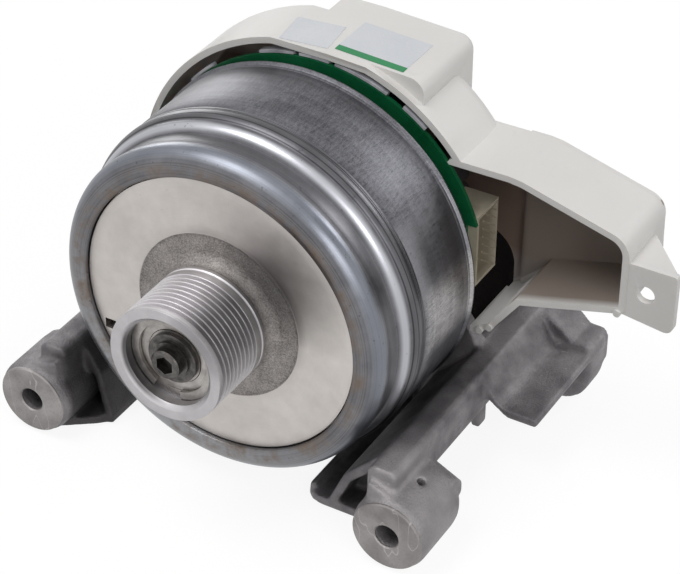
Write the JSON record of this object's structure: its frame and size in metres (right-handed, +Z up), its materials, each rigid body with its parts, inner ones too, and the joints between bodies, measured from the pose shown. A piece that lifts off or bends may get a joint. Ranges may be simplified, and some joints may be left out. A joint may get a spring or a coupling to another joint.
{
  "type": "washing machine motor",
  "caption": "Outer-rotor washing machine motor with grooved belt pulley, cast foot frame, control board and plastic rear cover with a side wing for the plug.",
  "frame": {"origin": "on the motor axis, in the plane of the hub's machined front face", "axes": "+Y along the motor axis to the rear, the pulley points to -Y, +Z up, +X to the wing of the cover"},
  "size_m": [0.23, 0.1525, 0.1414],
  "materials": {
    "cast_aluminium": "satin, rough as cast",
    "axle_steel": "ground",
    "dark_steel": "black oxide",
    "zinc_steel": "zinc plated",
    "bearing_steel": "ground",
    "spring_steel": "satin",
    "cage_plastic": "satin",
    "turned_aluminium": "turned, as-cast ring",
    "drum_steel": "zinc plated, streaky",
    "ferrite": "matte",
    "laminations": "stacked sheet",
    "insulator_plastic": "satin",
    "copper_wire": "lacquered wire",
    "board_green": "solder mask",
    "clip_plastic": "satin",
    "capacitor_sleeve": "sleeve",
    "black_plastic": "satin",
    "connector_plastic": "satin",
    "pin_metal": "tinned",
    "cover_plastic": "satin, finely grained",
    "label_white": "paper label",
    "label_green": "printed"
  },
  "bodies": {
    "frame": {"foot_frame": "cast_aluminium", "stator_carrier": "cast_aluminium", "rear_wall": "cast_aluminium", "axle": "axle_steel", "axle_screw": "dark_steel", "clamp_washer": "axle_steel", "bearing_spacer": "axle_steel", "axle_nut": "zinc_steel", "axle_washer": "zinc_steel", "front_inner_ring": "bearing_steel", "rear_inner_ring": "bearing_steel", "stator_core": "laminations", "front_insulator": "insulator_plastic", "rear_insulator": "insulator_plastic", "stator_windings": "copper_wire", "stator_screws": "zinc_steel", "control_board": "board_green", "board_spacers": "insulator_plastic", "board_screws": "zinc_steel", "board_clips": "clip_plastic", "bus_capacitors": "capacitor_sleeve", "power_module": "black_plastic", "filter_choke": "copper_wire", "relay": "black_plastic", "connector_housing": "connector_plastic", "connector_pins": "pin_metal", "rear_cover": "cover_plastic", "cover_screws": "zinc_steel", "rating_label": "label_white", "label_band": "label_green", "data_label": "label_white"},
    "rotor": {"hub_and_pulley": "turned_aluminium", "rotor_drum": "drum_steel", "rotor_magnets": "ferrite", "front_outer_ring": "bearing_steel", "rear_outer_ring": "bearing_steel", "front_shields": "bearing_steel", "rear_shields": "bearing_steel", "retaining_ring": "dark_steel", "preload_washer": "spring_steel"},
    "front_cage": {"front_balls": "bearing_steel", "front_ball_cage": "cage_plastic"},
    "rear_cage": {"rear_balls": "bearing_steel", "rear_ball_cage": "cage_plastic"}
  },
  "joints": [
    {"name": "rotor_spin", "type": "hinge", "parent": "frame", "child": "rotor", "pos_m": [0, 0, 0], "axis": [0, 1, 0], "continuous": true},
    {"name": "front_cage_spin", "type": "hinge", "parent": "frame", "child": "front_cage", "pos_m": [0, 0, 0], "axis": [0, 1, 0], "continuous": true},
    {"name": "rear_cage_spin", "type": "hinge", "parent": "frame", "child": "rear_cage", "pos_m": [0, 0, 0], "axis": [0, 1, 0], "continuous": true}
  ],
  "couplings": [
    {"joint": "front_cage_spin", "follows": "rotor_spin", "ratio": 0.6013},
    {"joint": "rear_cage_spin", "follows": "rotor_spin", "ratio": 0.6182}
  ]
}
